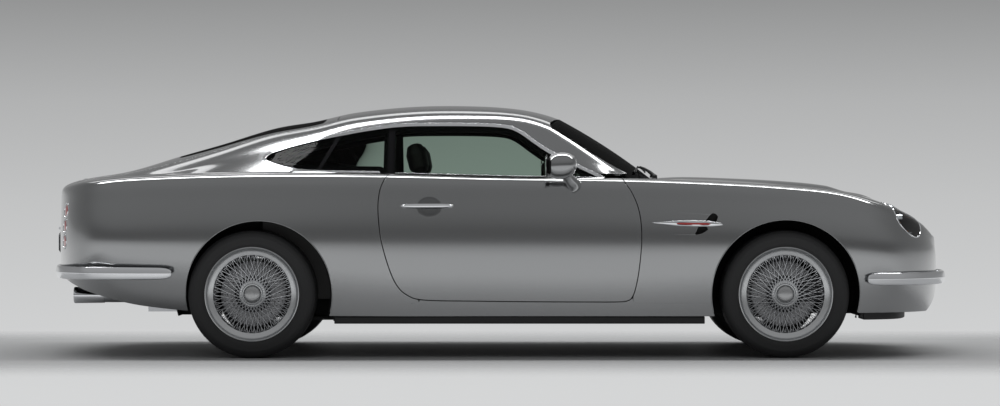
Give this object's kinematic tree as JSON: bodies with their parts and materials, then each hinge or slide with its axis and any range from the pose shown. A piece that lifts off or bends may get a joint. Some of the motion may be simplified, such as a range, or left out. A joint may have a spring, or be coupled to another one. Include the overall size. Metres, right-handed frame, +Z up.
{
  "type": "coupe car",
  "caption": "Two-door fastback grand touring coupe with wire wheels, opening doors, bonnet and rear hatch, steered front wheels",
  "frame": {"origin": "on the ground under the middle of the car's overall box", "axes": "+X forward, +Y to the car's left, +Z up"},
  "size_m": [4.808, 2.07, 1.3256],
  "materials": {
    "paint": "metallic silver grey, gloss",
    "dark_metal": "dark coated metal",
    "engine": "cast, dull",
    "black_trim": "matt black",
    "cabin_trim": "dark hide, satin",
    "seat_leather": "dark hide, satin",
    "bright_trim": "bright plated",
    "lamp_glass": "clear",
    "tail_lens": "red, clear gloss",
    "window_glass": "lightly tinted",
    "tyre": "black rubber",
    "wheel_metal": "polished"
  },
  "bodies": {
    "car_body": {"floor_pan": "dark_metal", "firewall": "dark_metal", "wheel_liners": "black_trim", "front_wings": "paint", "rear_quarters": "paint", "rocker_panels": "paint", "roof_panel": "paint", "nose_panel": "paint", "tail_panel": "paint", "front_bumper": "bright_trim", "rear_bumper": "bright_trim", "grille": "bright_trim", "headlamps": "lamp_glass", "tail_lamps": "tail_lens", "windscreen": "window_glass", "quarter_glasses": "window_glass", "lower_trim": "black_trim", "exhaust": "bright_trim", "engine_block": "engine", "front_seats": "seat_leather", "rear_seats": "seat_leather", "dashboard": "cabin_trim", "steering_wheel": "cabin_trim", "front_suspension": "dark_metal", "rear_suspension": "dark_metal"},
    "door_left_body": {"door_left": "paint", "door_glass_left": "window_glass", "mirror_left": "paint"},
    "door_right_body": {"door_right": "paint", "door_glass_right": "window_glass", "mirror_right": "paint"},
    "bonnet_body": {"bonnet": "paint"},
    "hatch_body": {"hatch": "paint", "hatch_glass": "window_glass"},
    "knuckle_left_body": {"knuckle_left": "dark_metal"},
    "knuckle_right_body": {"knuckle_right": "dark_metal"},
    "front_left_wheel": {"tyre_front_left": "tyre", "wheel_front_left": "wheel_metal"},
    "front_right_wheel": {"tyre_front_right": "tyre", "wheel_front_right": "wheel_metal"},
    "rear_left_wheel": {"tyre_rear_left": "tyre", "wheel_rear_left": "wheel_metal"},
    "rear_right_wheel": {"tyre_rear_right": "tyre", "wheel_rear_right": "wheel_metal"}
  },
  "joints": [
    {"name": "steer_left", "type": "hinge", "parent": "car_body", "child": "knuckle_left_body", "pos_m": [1.462, 0.716, 0.33], "axis": [0, 0, 1], "range_deg": [-35, 35]},
    {"name": "steer_right", "type": "hinge", "parent": "car_body", "child": "knuckle_right_body", "pos_m": [1.462, -0.716, 0.33], "axis": [0, 0, 1], "range_deg": [-35, 35]},
    {"name": "spin_front_left", "type": "hinge", "parent": "knuckle_left_body", "child": "front_left_wheel", "pos_m": [1.462, 0.78, 0.33], "axis": [0, 1, 0], "continuous": true},
    {"name": "spin_front_right", "type": "hinge", "parent": "knuckle_right_body", "child": "front_right_wheel", "pos_m": [1.462, -0.78, 0.33], "axis": [0, 1, 0], "continuous": true},
    {"name": "spin_rear_left", "type": "hinge", "parent": "car_body", "child": "rear_left_wheel", "pos_m": [-1.29, 0.802, 0.33], "axis": [0, 1, 0], "continuous": true},
    {"name": "spin_rear_right", "type": "hinge", "parent": "car_body", "child": "rear_right_wheel", "pos_m": [-1.29, -0.802, 0.33], "axis": [0, 1, 0], "continuous": true},
    {"name": "door_left_hinge", "type": "hinge", "parent": "car_body", "child": "door_left_body", "pos_m": [0.7195, 0.911, 0.6], "axis": [0, 0, -1], "range_deg": [0, 65]},
    {"name": "door_right_hinge", "type": "hinge", "parent": "car_body", "child": "door_right_body", "pos_m": [0.7195, -0.911, 0.6], "axis": [0, 0, 1], "range_deg": [0, 65]},
    {"name": "bonnet_hinge", "type": "hinge", "parent": "car_body", "child": "bonnet_body", "pos_m": [2.121, 0, 0.7665], "axis": [0, 1, 0], "range_deg": [0, 50]},
    {"name": "hatch_hinge", "type": "hinge", "parent": "car_body", "child": "hatch_body", "pos_m": [-0.867, 0, 1.2735], "axis": [0, 1, 0], "range_deg": [0, 65]}
  ],
  "couplings": [
    {"joint": "steer_right", "follows": "steer_left", "ratio": 1}
  ]
}
